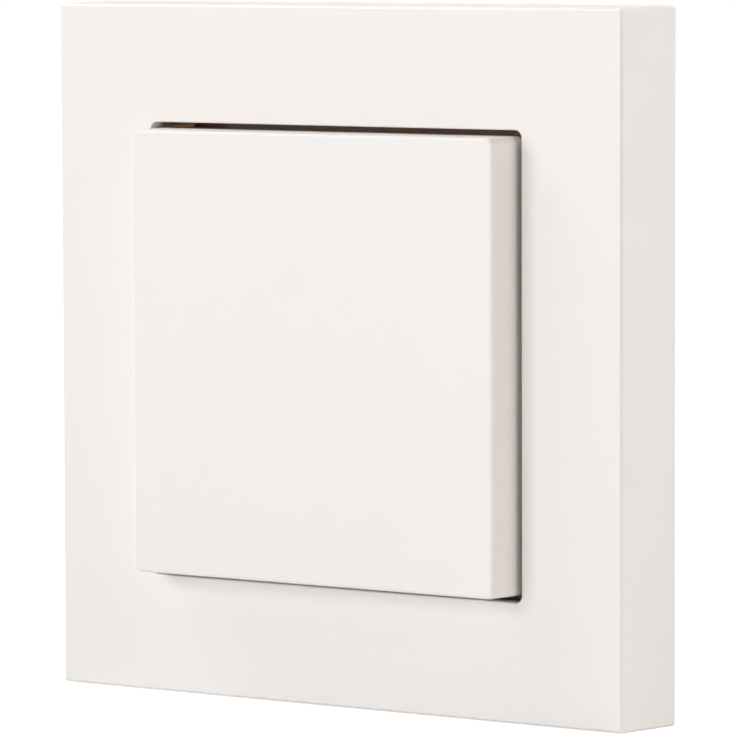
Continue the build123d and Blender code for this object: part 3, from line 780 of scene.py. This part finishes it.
def add_legs(count, pitch, apart, reach, rise, width, turn, centre):
    empty = bpy.data.meshes.new("leg_row")
    made = grow("leg_row", leg_tree, empty, Count=count, Pitch=pitch * MM, Apart=apart, Reach=reach * MM,
                Rise=rise * MM, Width=width * MM, Thick=leg_thick, Turn=turn, Centre=centre,
                Finish=finishes["crystal_can"])
    tinned.from_mesh(made.data)
    bpy.data.objects.remove(made)


for piece, count, pitch, reach, rise, width, turn in leg_rows:
    low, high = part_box(piece)
    apart = (high.x - low.x) / 2 if turn else (high.z - low.z) / 2
    centre = Vector(((low.x + high.x) / 2, board_front, (low.z + high.z) / 2))
    add_legs(count, pitch, apart, reach, rise, width, turn, centre)
print("leg faces so far:", len(tinned.faces))

# %% Caps of capacitors and diodes
cap_places = [(8.88, -7.05), (8.88, -13.05)]
diode_places = [(x, -15.05) for x in (-12.8, -9.2, -5.6, -2.0)]
capped = [
    # places as x and z in mm, then half the body's length and the cap's reach, rise and width in mm
    (cap_places, 3.65, 0.35, 1.1, 2.6),
    (diode_places, 1.35, 0.38, 0.5, 1.1),
]
for places, half, reach, rise, width in capped:
    for x, z in places:
        centre = Vector((x * MM, board_front, z * MM))
        add_legs(count=1, pitch=1.0, apart=half * MM, reach=reach, rise=rise, width=width, turn=quarter,
                 centre=centre)
legs = new_piece("tinned_legs", tinned, finishes["crystal_can"])
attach(legs, "base")
print("legs:", len(legs.data.polygons), "faces")

# %% [markdown]
# ## Marks on the small parts
#
# A chip has a dot at its first leg and a diode a bar at its negative end, so that they go on the right way
# round. Both are printed, so they are painted over the plastic's colour: the dot by its distance from a
# point, the bar by how near a place is to the bar's middle line.

# %% Dots and bars
chip_tree = finishes["chip_black"].node_tree
chip_surface = chip_tree.nodes["Principled BSDF"]
print_grey = (0.42, 0.42, 0.4)
dotted = ("radio_chip", "power_chip")
dot_radius, dot_inset = 0.3 * MM, 0.8 * MM
bar_from_middle, bar_half, diode_half_width = 0.9 * MM, 0.18 * MM, 1.0 * MM
for piece in dotted:
    low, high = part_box(piece)
    inputs = {0: own_coords(chip_tree, (1, 0, 1)), 1: (low.x + dot_inset, 0, high.z - dot_inset)}
    away = wire(chip_tree, "ShaderNodeVectorMath", inputs, operation="DISTANCE")["Value"]
    paint(chip_tree, chip_surface, disc(chip_tree, away, dot_radius), print_grey)
across = wire(chip_tree, "ShaderNodeSeparateXYZ", {"Vector": own_coords(chip_tree)})
for x, z in diode_places:
    near = []
    for way, middle, half in (("X", x * MM + bar_from_middle, bar_half), ("Z", z * MM, diode_half_width)):
        inputs = {0: across[way], 1: middle, 2: half}
        near.append(wire(chip_tree, "ShaderNodeMath", inputs, operation="COMPARE")[0])
    bar = wire(chip_tree, "ShaderNodeMath", {0: near[0], 1: near[1]}, operation="MULTIPLY")[0]
    paint(chip_tree, chip_surface, bar, print_grey)
print("marked:", len(dotted), "chips and", len(diode_places), "diodes")

# %% [markdown]
# ## Centring spring
#
# The leaf spring on the lid presses against the rocker's ribs and gives way when the rocker tilts. The packed
# spring is one stiff solid, and here a copy of its mesh takes its place.

# %% A copy of the spring
spring_node = frame["nodes"]["centring_spring"]
same_place = 1e-6
leaf_shell = bmesh.new()
leaf_shell.from_mesh(spring_node.data)
bmesh.ops.transform(leaf_shell, matrix=spring_node.matrix_world, verts=leaf_shell.verts)
bmesh.ops.remove_doubles(leaf_shell, verts=leaf_shell.verts, dist=same_place)
leaf = new_piece("spring_leaf", leaf_shell, finishes["spring_bronze"])
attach(leaf, "base")
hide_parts("centring_spring")
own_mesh(leaf)
